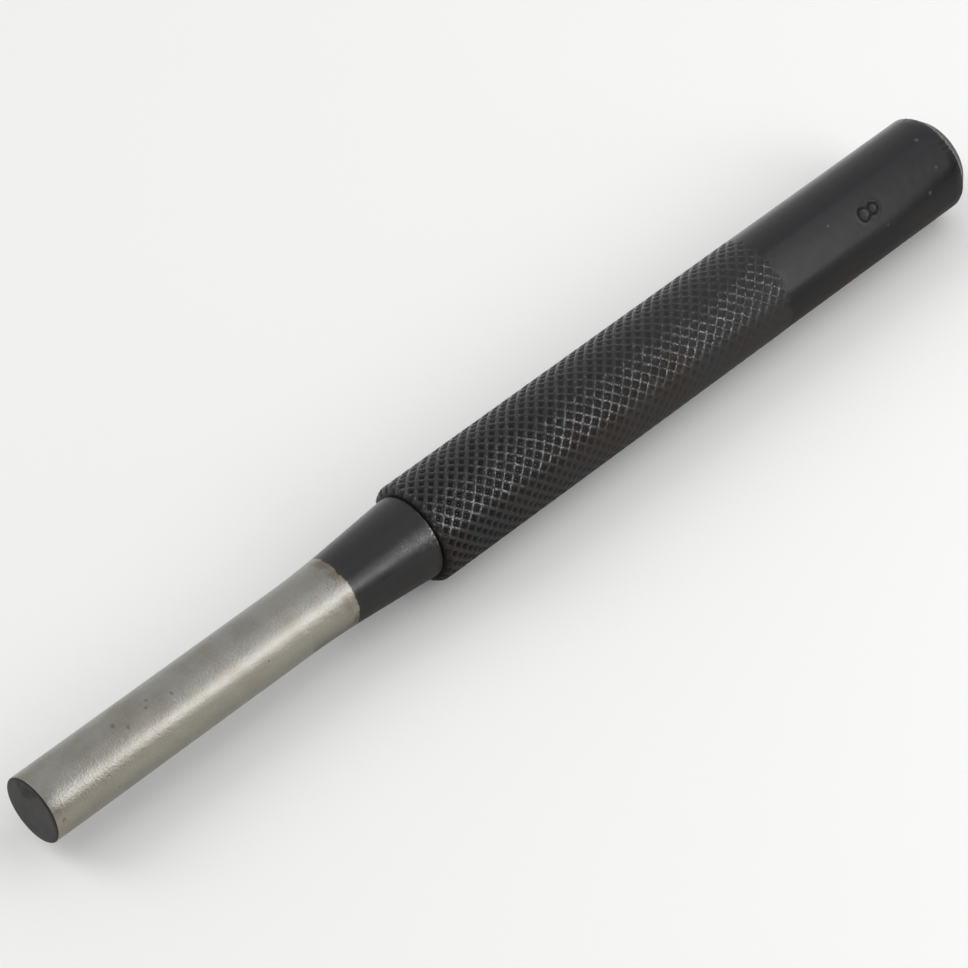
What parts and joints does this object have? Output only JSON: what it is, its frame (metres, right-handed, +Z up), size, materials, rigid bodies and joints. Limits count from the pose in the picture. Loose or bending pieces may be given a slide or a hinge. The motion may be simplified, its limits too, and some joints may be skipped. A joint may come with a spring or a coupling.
{
  "type": "pin punch",
  "caption": "Hand-held drive pin punch: bright ground pin screwed through a black tapered nose into a black diamond-knurled handle with a plain head to strike.",
  "frame": {"origin": "middle of the tool's length and width, on the surface that it lies on", "axes": "+X along the tool from the tip to the struck head, +Z up"},
  "size_m": [0.1368, 0.0118, 0.0119],
  "materials": {
    "ground_steel": "bright, ground round the axis",
    "black_oxide_nose": "black oxide over turned steel, satin, ground bright at the front",
    "black_oxide_handle": "black oxide over knurled and turned steel, satin"
  },
  "bodies": {
    "handle": {"handle": "black_oxide_handle"},
    "nose": {"nose": "black_oxide_nose"},
    "pin": {"pin": "ground_steel"}
  },
  "joints": [
    {"name": "nose_draw", "type": "slide", "parent": "handle", "child": "nose", "axis": [-1, 0, 0], "range_m": [0, 0.008]},
    {"name": "pin_unscrew", "type": "hinge", "parent": "nose", "child": "pin", "pos_m": [-0.033, 0, 0.00596], "axis": [-1, 0, 0], "range_deg": [0, 3600]}
  ],
  "couplings": [
    {"joint": "pin_unscrew", "follows": "nose_draw", "rad_per_m": 7854}
  ]
}
